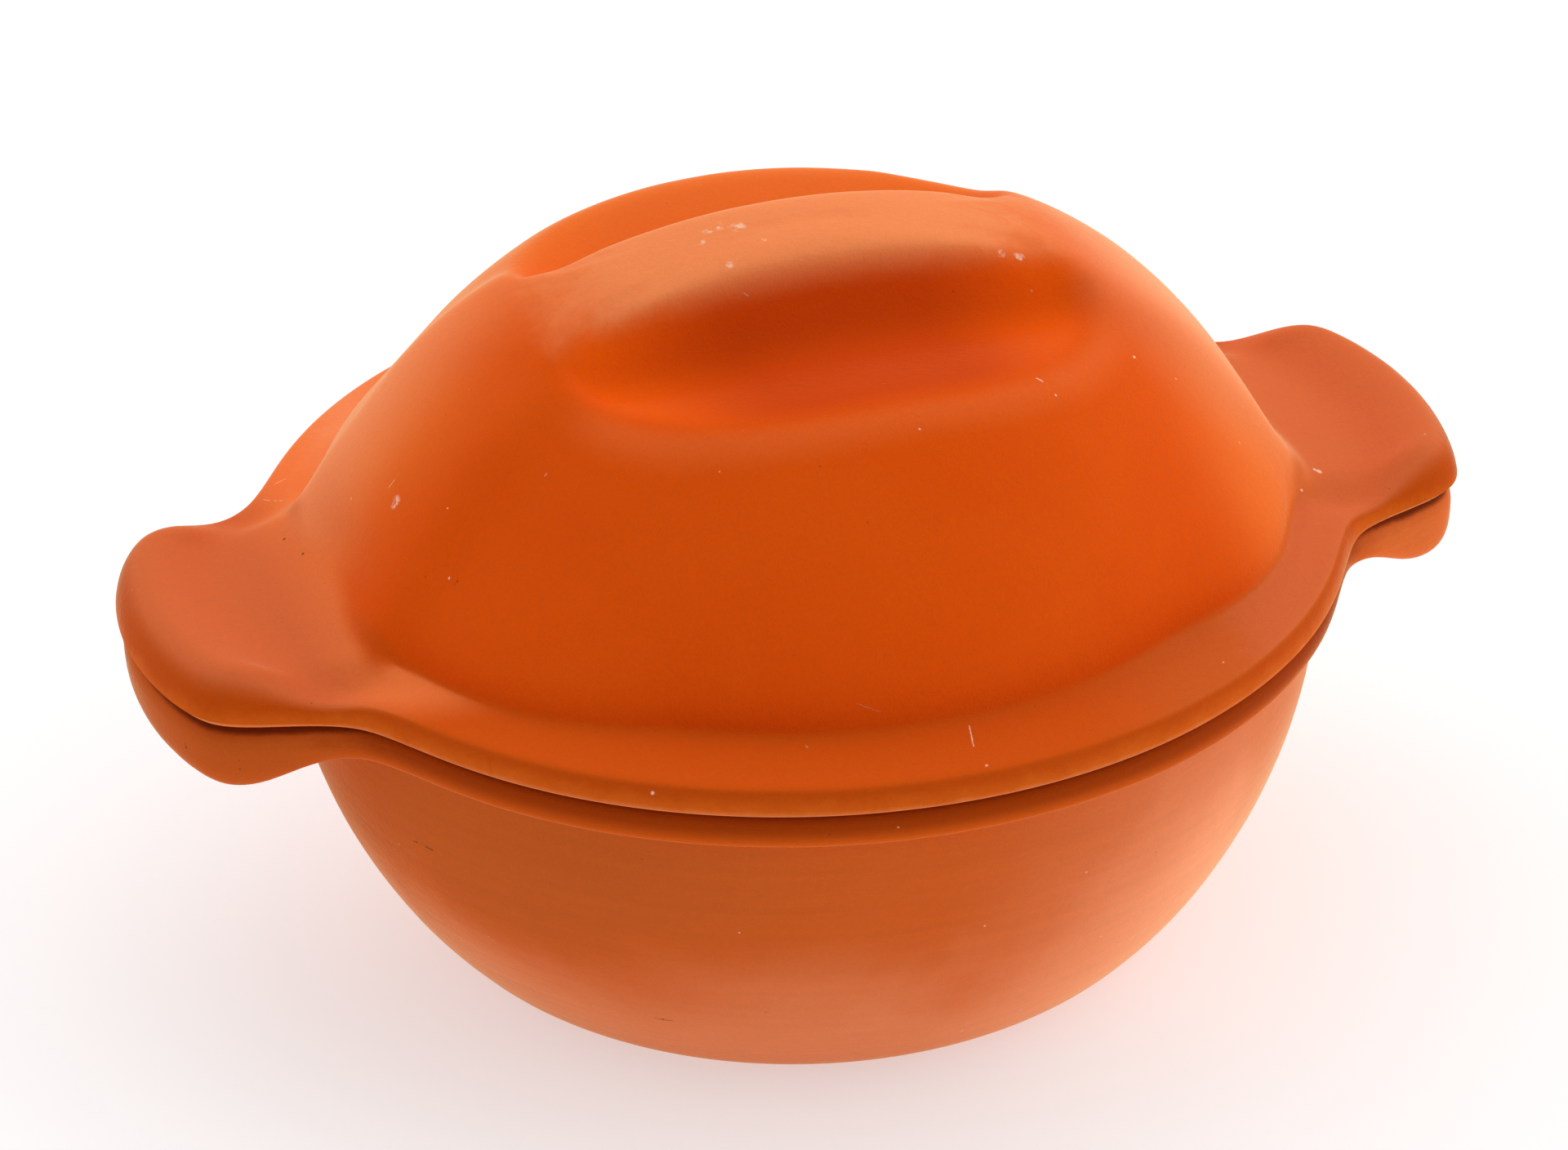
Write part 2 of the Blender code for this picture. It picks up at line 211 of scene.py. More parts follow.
def makeFloor(look):
    bpy.ops.object.select_all(action="DESELECT")
    bpy.ops.mesh.primitive_plane_add(size=look["floorSize"], location=(0.0, 0.0, 0.0))
    floor = bpy.context.object
    floor.name = "paleFloor"
    material = bpy.data.materials.new("palePaper")
    material.use_nodes = True
    tree = material.node_tree
    shader = tree.nodes["Principled BSDF"]
    seen = seenDirectly(tree)
    paper = blend(tree, seen, look["floorColour"], look["seenColour"])
    tree.links.new(paper, shader.inputs["Base Color"])
    shader.inputs["Roughness"].default_value = look["floorRoughness"]
    shader.inputs["Specular IOR Level"].default_value = 0.0
    shader.inputs["Emission Color"].default_value = (1.0, 1.0, 1.0, 1.0)
    glow = blendNumber(tree, seen, look["floorGlow"], look["floorLift"])
    tree.links.new(glow, shader.inputs["Emission Strength"])
    floor.data.materials.append(material)


def makeTent(look):
    # White cloth all round, dimmer where the camera stands and brightest behind
    world = bpy.data.worlds.new("whiteTent")
    bpy.context.scene.world = world
    world.use_nodes = True
    tree = world.node_tree
    background = tree.nodes["Background"]
    background.inputs["Color"].default_value = (1.0, 1.0, 1.0, 1.0)
    direction = addNode(tree, "ShaderNodeTexCoord").outputs["Generated"]
    turn = math.radians(look["tentTurn"])
    away = (-math.sin(turn), math.cos(turn), 0.0)
    along = vector1(tree, "DOT_PRODUCT", direction, away)
    upwards = vector1(tree, "DOT_PRODUCT", direction, (0.0, 0.0, 1.0))
    strength = ramp(tree, along, *look["tentRamp"], look["frontLight"], look["backLight"])
    overhead = ramp(tree, upwards, *look["topFrom"], 0.0, look["topLight"])
    strength = math1(tree, "ADD", strength, overhead)
    shown = blendNumber(tree, seenDirectly(tree), strength, 1.0)
    tree.links.new(shown, background.inputs["Strength"])


makeFloor(studio)
makeTent(studio)
bpy.context.scene.view_settings.view_transform = "Standard"
print("studio ready")


# Clay skins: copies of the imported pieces, merged, smoothed and made a little uneven

skin = {
    "weld": 0.00001,
    "quads": (50.0, 70.0),  # degrees: two triangles join up to this turn and this shape
    "crispFrom": 38.0,  # degrees: an edge that turns more than this stays crisp
    "crispBelow": 0.125,  # the dome and its grip have no crisp edges
    "levels": 2,
    "smoothTo": 34.0,
    "domeFrom": (0.138, 0.152),  # heights from which the dome and its grip are softened
    "relax": 0.5,
    "domePasses": 60,
    "gripPasses": 8,
    "endsFrom": (0.044, 0.062),  # reach along X of the soft ends of the recesses
    "endsPasses": 90,
    "barFrom": (0.0150, 0.0060),  # distance from the middle line of the bar's level top
    "barEnds": (0.090, 0.070),  # and its reach along X
    "barTerms": (7, 5),  # powers of X and of Y in the smooth surface laid on it
    "barUnit": 0.080,
    "barPasses": 12,
    "footNear": (0.024, 0.012),  # distance from the dome's border, as for a round dome
    "footReach": (0.050, 0.100),  # the dome's foot is soft towards the ears
    "footPasses": 40,
    "footAbove": 0.108,
    "footFacing": (0.5, -0.3),
    "spread": 0.0080,  # the dome's foot runs out this much beside each ear
    "spreadReach": (0.060, 0.100),
    "spreadSide": (0.0, 0.040),
    "spreadUp": (0.148, 0.118),  # heights
    "spreadOut": 0.020,
    "domeHalf": (0.1215, 0.1190),  # half the dome's length and width
    "waves": ((0.055, 0.00050, 3), (0.014, 0.00012, 2)),  # size, height, detail of unevenness
    "inwards": 0.80,  # share of the unevenness that lies below the smooth surface
    "seamClear": 0.0045,  # no unevenness this close to the seam or the table
    "seamFade": 0.0060,
}


def eased(value, low, high):
    # 0 at low, 1 at high, and smooth between them
    share = min(1.0, max(0.0, (value - low) / (high - low)))
    return share * share * (3.0 - 2.0 * share)


grip = {
    "barWidth": 0.0350,
    "barFlare": 0.0080,  # how far each side of the bar runs out towards its ends
    "flarePower": 4,
    "barLength": 0.148,
    "barLift": 0.0012,
    "liftPower": 6,
    "liftEnds": 3.0,
    "recessLength": 0.152,
    "recessReach": 0.0725,  # from the middle line to the lip
    "recessDepth": 0.0300,
    "endPower": 2.5,
    "wallSlope": 1.80,
    "lipSlope": 0.53,
    "wallRound": 0.0022,
    "lipRound": 0.0015,
    "blendPower": 3.0,
    "above": 0.135,  # the dome below this is left alone
    "shorter": 0.012,  # how much shorter the recess at the back is sunk again
    "shorterBy": 0.030,  # full at this distance behind the middle line
}


def rounded(distance, radius):
    return (distance + math.hypot(distance, radius)) / 2


def gripFall(x, y, shorter):
    # How far the finger recesses fall below the dome, less the lift of the bar
    length = grip["recessLength"] - shorter * eased(y, 0.0, grip["shorterBy"])
    along = min(1.0, abs(x) / (length / 2))
    lip = grip["recessReach"] * (1.0 - along ** grip["endPower"]) ** (1 / grip["endPower"])
    barSide = grip["barWidth"] / 2 + grip["barFlare"] * along ** grip["flarePower"]
    slopes = (
        rounded(grip["lipSlope"] * (lip - abs(y)), grip["lipRound"]),
        rounded(grip["wallSlope"] * (abs(y) - barSide), grip["wallRound"]),
        grip["recessDepth"],
    )
    fall = sum(slope ** -grip["blendPower"] for slope in slopes) ** (-1 / grip["blendPower"])
    ends = grip["liftEnds"]
    onBar = eased(ends - ends * abs(x) / (grip["barLength"] / 2), 0.0, 1.0)
    level = math.exp(-((abs(y) / (grip["barWidth"] / 2)) ** grip["liftPower"]))
    return fall - grip["barLift"] * onBar * level


def moveGrip(piece, share, shorter=0.0):
    # 1 fills the recesses, so that the dome is divided evenly, and -1 sinks them again
    upper = [vertex for vertex in piece.data.vertices if vertex.co.z > grip["above"]]
    for vertex in [vertex for vertex in upper if vertex.normal.z > 0.0]:
        vertex.co.z += share * gripFall(vertex.co.x, vertex.co.y, shorter)


def copyNode(nodeName, pieceName):
    bpy.ops.object.select_all(action="DESELECT")
    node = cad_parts[nodeName]
    node.select_set(True)
    bpy.context.view_layer.objects.active = node
    bpy.ops.object.duplicate()
    piece = bpy.context.object
    piece.name = pieceName
    piece.data.name = pieceName
    piece.parent = None
    for key in list(piece.keys()):
        del piece[key]
    piece.data.materials.clear()
    bpy.ops.object.mode_set(mode="EDIT")
    bpy.ops.mesh.select_all(action="SELECT")
    bpy.ops.mesh.remove_doubles(threshold=skin["weld"])
    if nodeName == "lid":
        bpy.ops.object.mode_set(mode="OBJECT")
        moveGrip(piece, 1.0)
        bpy.ops.object.mode_set(mode="EDIT")
    facing, shape = (math.radians(angle) for angle in skin["quads"])
    bpy.ops.mesh.tris_convert_to_quads(face_threshold=facing, shape_threshold=shape)
    bpy.ops.mesh.customdata_custom_splitnormals_clear()
    bpy.ops.mesh.select_mode(type="EDGE")
    bpy.ops.mesh.select_all(action="DESELECT")
    bpy.ops.mesh.edges_select_sharp(sharpness=math.radians(skin["crispFrom"]))
    bpy.ops.object.mode_set(mode="OBJECT")
    for edge in piece.data.edges:
        start, end = (piece.data.vertices[index].co for index in edge.vertices)
        edge.select = edge.select and (start.z + end.z) / 2 < skin["crispBelow"]
    bpy.ops.object.mode_set(mode="EDIT")
    bpy.ops.transform.edge_crease(value=1.0)
    bpy.ops.object.mode_set(mode="OBJECT")
    return piece


def applyModifier(piece, modifier):
    bpy.context.view_layer.objects.active = piece
    bpy.ops.object.modifier_apply(modifier=modifier.name)


def smoothClay(piece):
    finer = piece.modifiers.new("finer", "SUBSURF")
    finer.levels = skin["levels"]
    finer.render_levels = skin["levels"]
    applyModifier(piece, finer)


def soften(piece, name, passes, shareOfVertex):
    # Relaxes the vertices, each by its own share
    group = piece.vertex_groups.new(name=name)
    for vertex in piece.data.vertices:
        group.add([vertex.index], shareOfVertex(vertex), "REPLACE")
    relax = piece.modifiers.new(name, "SMOOTH")
    relax.factor = skin["relax"]
    relax.iterations = passes
    relax.vertex_group = name
    applyModifier(piece, relax)
    piece.vertex_groups.clear()


def onOuterSide(vertex):
    # The outer faces of the dome and the flange, and not the hollow under them
    outwards = vertex.normal.x * vertex.co.x + vertex.normal.y * vertex.co.y
    upwards, downwards = skin["footFacing"]
    facesOut = vertex.normal.z > upwards or (vertex.normal.z > downwards and outwards > 0.0)
    return facesOut and vertex.co.z > skin["footAbove"]


def falling(value, far, near):
    # 0 beyond the far end and 1 within the near one
    return eased(-value, -far, -near)


def domeShare(vertex):
    return eased(vertex.co.z, *skin["domeFrom"]) if vertex.normal.z > 0.0 else 0.0


def endsShare(vertex):
    return domeShare(vertex) * eased(abs(vertex.co.x), *skin["endsFrom"])


def barShare(vertex):
    # 1 on the level top of the grip bar
    onTop = falling(abs(vertex.co.y), *skin["barFrom"])
    onTop *= falling(abs(vertex.co.x), *skin["barEnds"])
    return domeShare(vertex) * onTop


def evenBar(piece):
    # Lays the top of the bar on one smooth surface, free of the facets below it
    shares = [barShare(vertex) for vertex in piece.data.vertices]
    top = [(vertex, share) for vertex, share in zip(piece.data.vertices, shares) if share > 0.0]
    most, mostAcross = skin["barTerms"]
    powers = [(i, j) for i in range(most) for j in range(mostAcross) if i + j < most]
    unit = skin["barUnit"]
    places = [(vertex.co.x / unit, vertex.co.y / unit) for vertex, _ in top]
    rows = numpy.array([[x**i * y**j for i, j in powers] for x, y in places])
    heights = numpy.array([vertex.co.z for vertex, _ in top])
    fitted = rows @ numpy.linalg.lstsq(rows, heights, rcond=None)[0]
    for (vertex, share), height in zip(top, fitted):
        vertex.co.z += share * (float(height) - vertex.co.z)


def beyondDome(place):
    # How far a place lies outside the dome's border, and below 0 inside it
    length, width = skin["domeHalf"]
    return (math.hypot(place.x / length, place.y / width) - 1.0) * length


def footShare(vertex):
    # 1 along the foot of the dome towards the ears, on the lid's outer side
    if not onOuterSide(vertex):
        return 0.0
    away = abs(beyondDome(vertex.co))
    return falling(away, *skin["footNear"]) * eased(abs(vertex.co.x), *skin["footReach"])


def spreadFoot(piece):
    # Moves the foot of the dome outwards on both sides of each ear
    outer = [vertex for vertex in piece.data.vertices if onOuterSide(vertex)]
    for vertex in outer:
        place = vertex.co
        share = eased(abs(place.x), *skin["spreadReach"]) * eased(abs(place.y), *skin["spreadSide"])
        share *= falling(place.z, *skin["spreadUp"])
        share *= falling(beyondDome(place), skin["spreadOut"], 0.0)
        outwards = Vector((place.x, place.y, 0.0)).normalized()
        vertex.co = place + outwards * skin["spread"] * share


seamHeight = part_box("base")[1].z


def unevenShare(height):
    # 0 near the seam and the table, and 1 on the free surfaces
    nearest = min(abs(height - seamHeight), abs(height))
    return eased(nearest, skin["seamClear"], skin["seamClear"] + skin["seamFade"])


def makeUneven(piece):
    group = piece.vertex_groups.new(name="free")
    for vertex in piece.data.vertices:
        group.add([vertex.index], unevenShare(vertex.co.z), "REPLACE")
    for index, (size, height, depth) in enumerate(skin["waves"]):
        texture = bpy.data.textures.new(f"{piece.name}Waves{index}", "CLOUDS")
        texture.noise_basis = "IMPROVED_PERLIN"  # the plain kind leaves contour lines
        texture.noise_scale = size
        texture.noise_depth = depth
        waves = piece.modifiers.new(f"waves{index}", "DISPLACE")
        waves.texture = texture
        waves.texture_coords = "LOCAL"
        waves.direction = "NORMAL"
        waves.strength = height
        waves.mid_level = skin["inwards"]
        waves.vertex_group = "free"
        applyModifier(piece, waves)
    piece.vertex_groups.clear()


def finishSkin(piece):
    bpy.ops.object.select_all(action="DESELECT")
    piece.select_set(True)
    bpy.context.view_layer.objects.active = piece
    bpy.ops.object.shade_smooth_by_angle(angle=math.radians(skin["smoothTo"]))


def makeSkin(nodeName, pieceName):
    piece = copyNode(nodeName, pieceName)
    smoothClay(piece)
    if pieceName == "lidShell":
        soften(piece, "dome", skin["domePasses"], domeShare)
        moveGrip(piece, -1.0, grip["shorter"])
        spreadFoot(piece)
        soften(piece, "grip", skin["gripPasses"], domeShare)
        soften(piece, "ends", skin["endsPasses"], endsShare)
        evenBar(piece)
        soften(piece, "bar", skin["barPasses"], barShare)
        soften(piece, "foot", skin["footPasses"], footShare)
    makeUneven(piece)
    finishSkin(piece)
    bpy.context.view_layer.update()
    print(pieceName, "has", len(piece.data.polygons), "faces")
    return piece


# Clay

clayGrain = {
    # Scale, detail, roughness and distortion of each noise
    "grain": (1500.0, 2.0, 0.6),  # fine sand
    "pores": (420.0, 3.0, 0.6),
    "blotch": (75.0, 4.0, 0.6, 0.8),
    "drift": (14.0, 3.0, 0.55, 0.6),
    "streaks": (1.0, 3.0, 0.6, 0.4),
    "streakScales": (9.0, 9.0, 230.0),  # rings left by the wheel
    "steepFrom": (0.60, 0.30),  # only the steep sides show them
    "toneFrom": (0.30, 0.70),
    "poreFrom": (0.3, 0.7),
    "sheen": 0.46,
    "sheenRoughness": 0.22,
    "sheenTint": (0.92, 1.0, 0.58),
    "specular": 0.05,
    "chalk": (0.92, 0.58, 0.42),  # linear colours of the marks
    "soot": (0.09, 0.045, 0.015),
    # a painted highlight along the lid's lowest edge
    "edgeHighlight": (0.74, 0.21, 0.065),
    # painted shade in the seam between lid and base
    "seamShade": (0.12, 0.012, 0.001),
    "oval": (0.97, 1.0, 0.0),  # makes the rim's oval round
    "roundTilt": 0.35,
}

wear = {
    "dots": {"scale": 62.0, "size": 0.00042, "share": 0.48, "tone": 0.45},  # pale grains all over
    "specks": {"scale": 26.0, "size": 0.00045, "share": 0.30, "tone": 0.45},  # dark ones, fewer
    "scratches": {"scale": 34.0, "size": 0.0040, "share": 0.22, "width": 0.00008, "tone": 0.34},
    "nicks": {"scale": 48.0, "size": 0.0010, "share": 0.30, "width": 0.00020, "tone": 0.42},
    "pits": {"scale": 120.0, "size": 0.00040, "share": 0.35, "tone": 0.22},
    "spotCore": 0.5,  # share of a mark's size that is full
    "strokeCore": 0.3,
    "strokeEnds": 0.6,
    "markCore": 0.35,
    "darkTone": 0.85,
    "smearTone": 0.75,
    "smearFrom": (0.44, 0.60),
    "wobble": 0.0006,  # how far the marks' borders wander
    "wobbleScale": 900.0,
}


def cells(tree, where, kind):
    # Some of the cells of a pattern: the pattern, and 1 inside those that are chosen
    node = addNode(tree, "ShaderNodeTexVoronoi", feature="F1")
    feed(tree, node.inputs["Vector"], where)
    node.inputs["Scale"].default_value = kind["scale"]
    node.inputs["Randomness"].default_value = 1.0
    tint = addNode(tree, "ShaderNodeSeparateColor")
    tree.links.new(node.outputs["Color"], tint.inputs[0])
    chosen = math1(tree, "LESS_THAN", tint.outputs[0], kind["share"])
    return node, chosen


def scatterSpots(tree, where, kind):
    node, chosen = cells(tree, where, kind)
    far = kind["size"] * kind["scale"]
    near = ramp(tree, node.outputs["Distance"], far, far * wear["spotCore"])
    return product(tree, near, chosen)


def scatterStrokes(tree, where, kind):
    # A thin slab through the middle of a cell cuts the surface in a short line
    node, chosen = cells(tree, where, kind)
    offset = vector1(tree, "SUBTRACT", where, node.outputs["Position"])
    spread = vector1(tree, "SUBTRACT", node.outputs["Color"], (0.5, 0.5, 0.5))
    facing = vector1(tree, "NORMALIZE", spread)
    across = math1(tree, "ABSOLUTE", vector1(tree, "DOT_PRODUCT", offset, facing))
    thin = ramp(tree, across, kind["width"], kind["width"] * wear["strokeCore"])
    far = kind["size"] * kind["scale"]
    near = ramp(tree, node.outputs["Distance"], far, far * wear["strokeEnds"])
    return product(tree, thin, near, chosen)


def pixelSize():
    # Metres that one pixel of the photograph covers at the pot
    width = photoView["frame"][0]
    return photoView["distance"] * photoView["sensor"] / photoView["lens"] / width


def onClay(piece, pixel):
    # The point of a piece that the photograph shows at this pixel
    width, height = photoView["frame"]
    unit = photoView["sensor"] / width
    across = (pixel[0] - width / 2) * unit
    upwards = (height / 2 - pixel[1]) * unit
    direction = camera.matrix_world.to_3x3() @ Vector((across, upwards, -photoView["lens"]))
    hit, point, _, _ = piece.ray_cast(camera.matrix_world.translation, direction.normalized())
    return point if hit else None


def spotAt(tree, where, piece, mark):
    point = onClay(piece, mark[:2])
    if point is None:
        return None
    size = mark[2] * pixelSize()
    away = vector1(tree, "DISTANCE", where, tuple(point))
    return ramp(tree, away, size, size * wear["markCore"])


def strokeAt(tree, where, piece, mark):
    # From one pixel to another, with its half width in pixels
    start = onClay(piece, mark[0:2])
    end = onClay(piece, mark[2:4])
    if start is None or end is None:
        return None
    width = mark[4] * pixelSize()
    run = (end - start).normalized()
    offset = vector1(tree, "SUBTRACT", where, tuple(start))
    along = vector1(tree, "DOT_PRODUCT", offset, tuple(run))
    along = math1(tree, "MINIMUM", math1(tree, "MAXIMUM", along, 0.0), (end - start).length)
    nearest = vector1(tree, "SCALE", tuple(run), scale=along)
    away = vector1(tree, "LENGTH", vector1(tree, "SUBTRACT", offset, nearest))
    return ramp(tree, away, width, width * wear["strokeCore"])


def marksOf(tree, where, piece, marks):
    makers = [strokeAt if len(mark) == 5 else spotAt for mark in marks]
    made = [maker(tree, where, piece, mark) for maker, mark in zip(makers, marks)]
    return strongest(tree, *(mark for mark in made if mark is not None))


def smearsOf(tree, where, piece, marks, noise):
    # Chalky dust that only the high grains took
    return product(tree, marksOf(tree, where, piece, marks), ramp(tree, noise, *wear["smearFrom"]))


def clayTree(name):
    material = bpy.data.materials.new(name)
    material.use_nodes = True
    tree = material.node_tree
    shader = tree.nodes["Principled BSDF"]
    shader.inputs["Metallic"].default_value = 0.0
    shader.inputs["Specular IOR Level"].default_value = clayGrain["specular"]
    shader.inputs["Sheen Weight"].default_value = clayGrain["sheen"]
    shader.inputs["Sheen Roughness"].default_value = clayGrain["sheenRoughness"]
    shader.inputs["Sheen Tint"].default_value = (*clayGrain["sheenTint"], 1.0)
    where = addNode(tree, "ShaderNodeTexCoord").outputs["Object"]
    return material, tree, shader, where


def placeOf(tree, where):
    # Height, place along X and Y, distance from the middle and the way the clay faces
    parts = addNode(tree, "ShaderNodeSeparateXYZ")
    tree.links.new(where, parts.inputs[0])
    across, depth, height = parts.outputs
    flat = vector1(tree, "MULTIPLY", where, clayGrain["oval"])
    normal = addNode(tree, "ShaderNodeSeparateXYZ")
    facing = addNode(tree, "ShaderNodeNewGeometry").outputs["Normal"]
    tree.links.new(facing, normal.inputs[0])
    outwards = vector1(tree, "DOT_PRODUCT", facing, vector1(tree, "NORMALIZE", flat))
    return {
        "height": height,
        "across": across,
        "reach": math1(tree, "ABSOLUTE", across),
        "depth": depth,
        "side": math1(tree, "ABSOLUTE", depth),
        "radius": vector1(tree, "LENGTH", flat),
        "faceUp": normal.outputs["Z"],
        "inwards": math1(tree, "MULTIPLY", outwards, -1.0),
        "steep": ramp(tree, normal.outputs["Z"], *clayGrain["steepFrom"]),
        "round": math1(tree, "MULTIPLY_ADD", across, clayGrain["roundTilt"], depth),
        "aboveSeam": math1(tree, "SUBTRACT", height, seamHeight),
        "drift": cloud(tree, where, *clayGrain["drift"]),
        "blotch": cloud(tree, where, *clayGrain["blotch"]),
    }


def wander(tree, value, noise, amount):
    # Moves a border to and fro by a noise round 0.5
    return math1(tree, "MULTIPLY_ADD", math1(tree, "SUBTRACT", noise, 0.5), amount, value)


def finishClay(tree, shader, where, steep, colour, piece, look):
    # Grain and wear over the colour, and the relief that goes with them
    grain = cloud(tree, where, *clayGrain["grain"])
    pores = cloud(tree, where, *clayGrain["pores"])
    streaks = cloud(tree, stretched(tree, where, clayGrain["streakScales"]), *clayGrain["streaks"])
    streaks = product(tree, math1(tree, "SUBTRACT", streaks, 0.5), steep)
    streaks = math1(tree, "ADD", streaks, 0.5)
    fine = wander(tree, 1.0, grain, look["grainTone"])
    fine = wander(tree, fine, pores, look["poreTone"])
    fine = wander(tree, fine, streaks, look["streakTone"])
    colour = vector1(tree, "SCALE", colour, scale=fine)

    sway = addNode(tree, "ShaderNodeTexNoise")
    feed(tree, sway.inputs["Vector"], where)
    sway.inputs["Scale"].default_value = wear["wobbleScale"]
    sway = vector1(tree, "SUBTRACT", sway.outputs["Color"], (0.5, 0.5, 0.5))
    swayed = vector1(tree, "ADD", where, vector1(tree, "SCALE", sway, scale=wear["wobble"]))
    spots = {name: scatterSpots(tree, swayed, wear[name]) for name in ("specks", "dots", "pits")}
    strokes = {name: scatterStrokes(tree, swayed, wear[name]) for name in ("scratches", "nicks")}
    scattered = {**spots, **strokes}
    toned = {name: product(tree, mask, wear[name]["tone"]) for name, mask in scattered.items()}

    pale = strongest(tree, toned["dots"], toned["scratches"], toned["nicks"])
    paleMarks = marksOf(tree, swayed, piece, look["paleMarks"])
    pale = strongest(tree, pale, product(tree, paleMarks, look["paleShare"]))
    if look["smears"]:
        smears = smearsOf(tree, swayed, piece, look["smears"], pores)
        pale = strongest(tree, pale, product(tree, smears, wear["smearTone"]))
    colour = blend(tree, pale, colour, clayGrain["chalk"])
    darkMarks = marksOf(tree, swayed, piece, look["darkMarks"])
    darkShare = product(tree, darkMarks, wear["darkTone"])
    dark = strongest(tree, toned["specks"], toned["pits"], darkShare)
    colour = blend(tree, dark, colour, clayGrain["soot"])
    tree.links.new(colour, shader.inputs["Base Color"])

    rough = ramp(tree, pores, *clayGrain["poreFrom"], *look["roughness"])
    tree.links.new(rough, shader.inputs["Roughness"])
    relief = product(tree, pores, look["poreRelief"])
    relief = math1(tree, "MULTIPLY_ADD", grain, look["grainRelief"], relief)
    relief = math1(tree, "MULTIPLY_ADD", streaks, look["streakRelief"], relief)
    cuts = strongest(tree, scattered["scratches"], scattered["nicks"], scattered["pits"])
    relief = math1(tree, "MULTIPLY_ADD", cuts, -look["cutDepth"], relief)
    bump = addNode(tree, "ShaderNodeBump")
    bump.inputs["Strength"].default_value = 1.0
    bump.inputs["Distance"].default_value = 1.0
    tree.links.new(relief, bump.inputs["Height"])
    tree.links.new(bump.outputs["Normal"], shader.inputs["Normal"])


lidLook = {
    # Linear colours
    "deep": (0.72, 0.078, 0.0009),
    "warm": (0.74, 0.086, 0.0018),
    # Paler on the flanks and at the back: painted light
    "flanks": (0.84, 0.158, 0.020),
    "paintedSheen": (0.92, 0.285, 0.115),  # painted sheen, paler still at the back of both sides
    "paintedSheenRight": (0.93, 0.325, 0.145),
    "crown": (0.86, 0.240, 0.078),
    "recessShade": (0.60, 0.054, 0.0004),  # painted shade inside the finger recesses
    "recessShadeEnds": (0.84, 0.098, 0.0010),
    "lip": (0.84, 0.160, 0.034),  # painted highlight along the edge below the front recess
    "flange": (0.655, 0.086, 0.0035),
    "flangeRight": (0.62, 0.108, 0.015),
    "ears": (0.66, 0.132, 0.036),
    "earRoot": (0.88, 0.190, 0.044),  # lighter where the left ear meets the dome, painted light against the shade of the crease
    # The rolled edge: painted shade at its top and painted light from the table lower down
    "edge": (0.62, 0.104, 0.006),
    "edgeShadedTop": (0.52, 0.068, 0.002),
    "inside": (0.72, 0.160, 0.036),
    # Where each colour begins and where it is full
    "backFrom": (-0.03, 0.06),
    "flankFrom": (0.070, 0.118),
    "flankRound": (-0.075, -0.030),
    "paintedSheenFrom": (0.050, 0.110),
    "paintedSheenDepth": (-0.015, 0.035),
    "paintedSheenRightFrom": (0.02, 0.08),
    "paintedSheenForward": 0.045,  # the painted sheen on the right comes this much nearer
    "paintedSheenShares": (0.75, 1.0),  # of the painted sheen on the left and on the right
    "crownFrom": (0.180, 0.193),
    "crownWander": 0.01,
    "poolReach": (0.076, 0.0725),  # half length, and from the middle line to the lip
    "poolPower": 2.5,
    "poolFade": (0.0, 0.35),
    "poolFrom": (0.0155, 0.0225),  # where the bar ends
    "poolEndsFrom": (0.022, 0.062),
    "poolAbove": 0.150,
    "poolDepth": (-0.005, 0.005),
    "poolBehind": 0.25,  # how much of this colour the recess at the back has
    "lipBand": (-0.36, -0.06, 0.14),  # outside the recess, at its lip, inside it
    "lipDepth": (-0.030, -0.050),
    "lipShare": 0.36,
    "flangeBelow": (0.1180, 0.1145),
    "flangeDepth": (0.0, -0.06),
    "flangeRightFrom": (0.02, 0.07),
    "earShift": 0.014,  # the ears' colour reaches further in on the right
    "earWander": 0.02,
    "earFrom": (0.084, 0.108),
    "earBelow": (0.129, 0.119),
    "earRound": (-0.116, -0.098),
    "earLevel": (0.62, 0.90),  # it keeps to level clay
    "earOuter": (0.125, 0.140),  # but for the far end of the ears
    "rootFrom": (-0.146, -0.122),
    "leftToRight": (-0.05, 0.05),
    "edgeFrom": (0.126, 0.131),
    "edgeFacing": (0.88, 0.45),
    "edgeTopFrom": (0.0062, 0.0012),
    "edgeWander": 0.006,
    "glintHeight": (0.0022, 0.0006),  # painted highlight, a pale line above the seam
    "glintWander": 0.002,
    "glintShare": 0.6,
    "underFacing": (0.0, -0.15),
    "underRadius": 0.130,
    # Grain and relief
    "grainTone": 0.16,
    "poreTone": 0.10,
    "streakTone": 0.05,
    "roughness": (0.74, 0.92),
    "grainRelief": 0.00010,
    "poreRelief": 0.00014,
    "streakRelief": 0.00006,
    "cutDepth": 0.00012,
    "paleShare": 0.80,
    # Marks at pixels of the photograph: x, y, radius, or x, y, x, y, half width
    "smears": (
        (903, 278, 13.0), (884, 276, 13.0), (868, 283, 9.0), (858, 297, 8.0), (893, 324, 8.0),
        (907, 316, 7.0), (935, 294, 5.0), (484, 615, 11.0), (1248, 316, 10.0), (1226, 310, 7.0),
    ),
    "paleMarks": (
        (1615, 577, 5.0), (1610, 575, 3.5), (1594, 600, 2.6), (1250, 317, 3.0), (799, 971, 3.0),
        (1208, 937, 2.4), (486, 617, 2.5), (1498, 811, 1.8), (430, 611, 2.0), (548, 622, 1.8),
        (550, 708, 2.0), (1389, 437, 2.6), (1440, 464, 1.8), (1293, 484, 2.0), (1126, 525, 1.8),
        (1187, 889, 1192, 914, 1.1), (1608, 723, 1645, 724, 0.7), (322, 612, 345, 613, 0.8),
        (336, 593, 350, 586, 0.7), (476, 597, 483, 588, 0.7), (1269, 463, 1277, 467, 1.2),
    ),
    "darkMarks": ((348, 660, 2.6), (371, 678, 2.6), (250, 887, 3.2), (560, 712, 1.8)),
}


